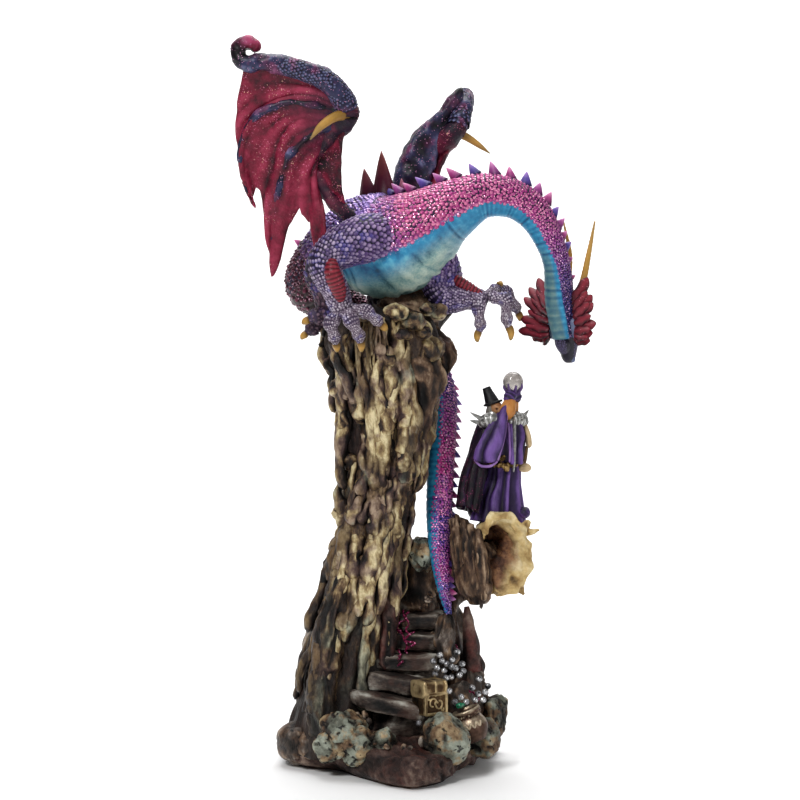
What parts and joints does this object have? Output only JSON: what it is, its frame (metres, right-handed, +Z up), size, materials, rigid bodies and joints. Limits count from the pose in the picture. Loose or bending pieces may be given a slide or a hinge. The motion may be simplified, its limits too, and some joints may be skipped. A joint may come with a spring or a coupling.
{
  "type": "dragon statue",
  "caption": "Painted resin statue of a winged dragon perched on a rock pillar, bending its neck over a robed wizard who lifts a glass ball.",
  "frame": {"origin": "on the flat underside of the rock base, below the middle of the base", "axes": "+Z up, +X towards the side the dragon's neck reaches out to, -Y towards the steps and the treasure"},
  "size_m": [0.1934, 0.1463, 0.3879],
  "materials": {
    "dragon_paint": "metallic paint and glitter on cast resin, satin",
    "rock_paint": "washed and dry-brushed paint on cast resin, matt",
    "robe_paint": "paint on cast resin, satin",
    "ball_glass": "polished clear"
  },
  "bodies": {
    "root": {"dragon": "dragon_paint", "rock_pillar": "rock_paint", "wizard": "robe_paint", "glass_ball": "ball_glass"}
  },
  "joints": []
}
